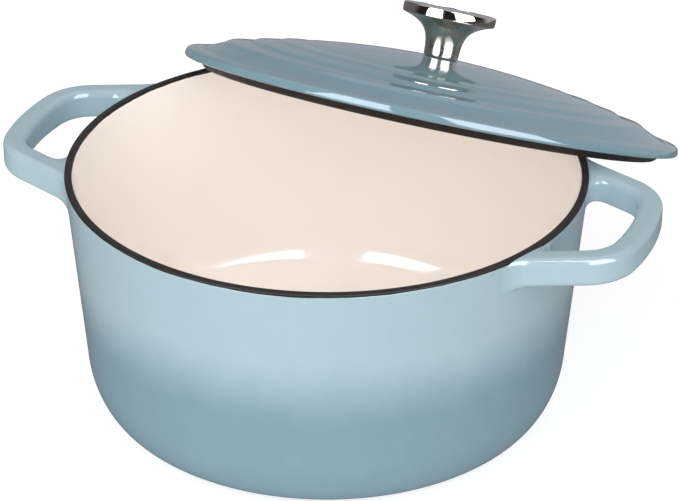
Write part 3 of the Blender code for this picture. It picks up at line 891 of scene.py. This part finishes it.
def studio_light():
    """One world: white to the camera; to matte surfaces an even light, with a wide key from the front;
    and to mirrors a dim room with a pale rear wall and roof and two softboxes in it."""
    world = bpy.data.worlds.new("studio")
    world.use_nodes = True
    world.cycles.sampling_method = "NONE"  # so that each ray asks for the light of its own kind
    bpy.context.scene.world = world
    tree = world.node_tree
    backdrop = tree.nodes["Background"]
    ray = add(tree, "TexCoord").outputs["Generated"]
    spin = {"Vector": ray, "Angle": -np.radians(CAMERA_HEADING)}
    turned = add(tree, "VectorRotate", spin, rotation_type="Z_AXIS")
    part = add(tree, "SeparateXYZ", {0: turned.outputs[0]}).outputs
    to_camera = times(tree, part["Y"], -1.0)
    heading = add(tree, "Math", {0: part["X"], 1: to_camera}, operation="ARCTAN2").outputs[0]
    height = add(tree, "Math", {0: part["Z"]}, operation="ARCSINE").outputs[0]

    (low, dim), (high, dark) = ROOM
    room = add(tree, "MapRange", {"Value": height, 1: low, 2: high, 3: dim, 4: dark}).outputs[0]
    rear = ramp(tree, to_camera, *REAR)
    left, right = BEHIND
    limits = {"Value": part["X"], 1: -BEHIND_EDGE, 2: BEHIND_EDGE, 3: left, 4: right}
    side = add(tree, "MapRange", limits).outputs[0]
    behind = times(tree, rear, side, ramp(tree, height, *np.radians(BEHIND_FOOT)))
    above = times(tree, ramp(tree, height, *np.radians(ROOF_EDGE)), ROOF)
    over = times(tree, rear, ramp(tree, height, *np.radians(OVER_EDGE)), OVER_THE_BACK)
    total = room
    for extra in (behind, above, over):
        total = add(tree, "Math", {0: total, 1: extra}, operation="MAXIMUM").outputs[0]
    for across, up, soft, power in SOFTBOXES:
        panel = times(tree, softbox(tree, heading, height, across, up, soft), power)
        total = add(tree, "Math", {0: total, 1: panel}, operation="MAXIMUM").outputs[0]

    lean, rise = np.radians([KEY_HEADING, KEY_HEIGHT])
    key = (float(np.sin(lean) * np.cos(rise)), float(-np.cos(lean) * np.cos(rise)), float(np.sin(rise)))
    both = {0: turned.outputs[0], 1: key}
    facing = add(tree, "VectorMath", both, operation="DOT_PRODUCT").outputs["Value"]
    facing = add(tree, "Math", {0: facing, 1: 0.0}, operation="MAXIMUM").outputs[0]
    lobe = times(tree, facing, KEY)
    limits = {"Value": part["Z"], 1: -HORIZON, 2: HORIZON, 3: FROM_BELOW, 4: FROM_ABOVE}
    even = add(tree, "MapRange", limits).outputs[0]
    soft_light = add(tree, "Math", {0: lobe, 1: even}, operation="ADD").outputs[0]

    path = add(tree, "LightPath").outputs
    seen = add(tree, "Mix", {"Factor": path["Is Diffuse Ray"], 2: total, 3: soft_light}).outputs[0]
    seen = add(tree, "Mix", {"Factor": path["Is Camera Ray"], 2: seen, 3: 1.0}).outputs[0]
    tree.links.new(seen, backdrop.inputs["Strength"])
    blend = {"Factor": path["Is Glossy Ray"], MIX_FIRST: paint("#ffffff"), MIX_SECOND: MIRRORED_TINT}
    tint = add(tree, "Mix", blend, data_type="RGBA").outputs[MIX_RESULT]
    tree.links.new(tint, backdrop.inputs["Color"])


FILL_POWER = 14.0  # watts
FILL_RISE = 0.8  # height for each metre in front of the pot
FILL_SIZE = 1.8
FILL_DISTANCE = 1.5


def fill_light(receiver):
    """A broad soft lamp above the front. It is linked to one piece, the pale inside of the pot, which the
    world alone would leave too dark."""
    group = bpy.data.collections.new("lit_by_fill")
    group.objects.link(receiver)
    lamp = bpy.data.lights.new("fill", "AREA")
    lamp.energy = FILL_POWER
    lamp.size = FILL_SIZE
    holder = bpy.data.objects.new("fill", lamp)
    holder.visible_glossy = False
    holder.light_linking.receiver_collection = group
    heading = np.radians(CAMERA_HEADING)
    back = np.array([np.sin(heading), -np.cos(heading), FILL_RISE]) / np.hypot(1, FILL_RISE)
    right = np.array([np.cos(heading), np.sin(heading), 0.0])
    aimed(holder, right, back, back * FILL_DISTANCE)


floor()
studio_camera()
studio_light()
fill_light(bpy.data.objects["pot_cream_coat"])
bpy.context.scene.view_settings.view_transform = "Standard"
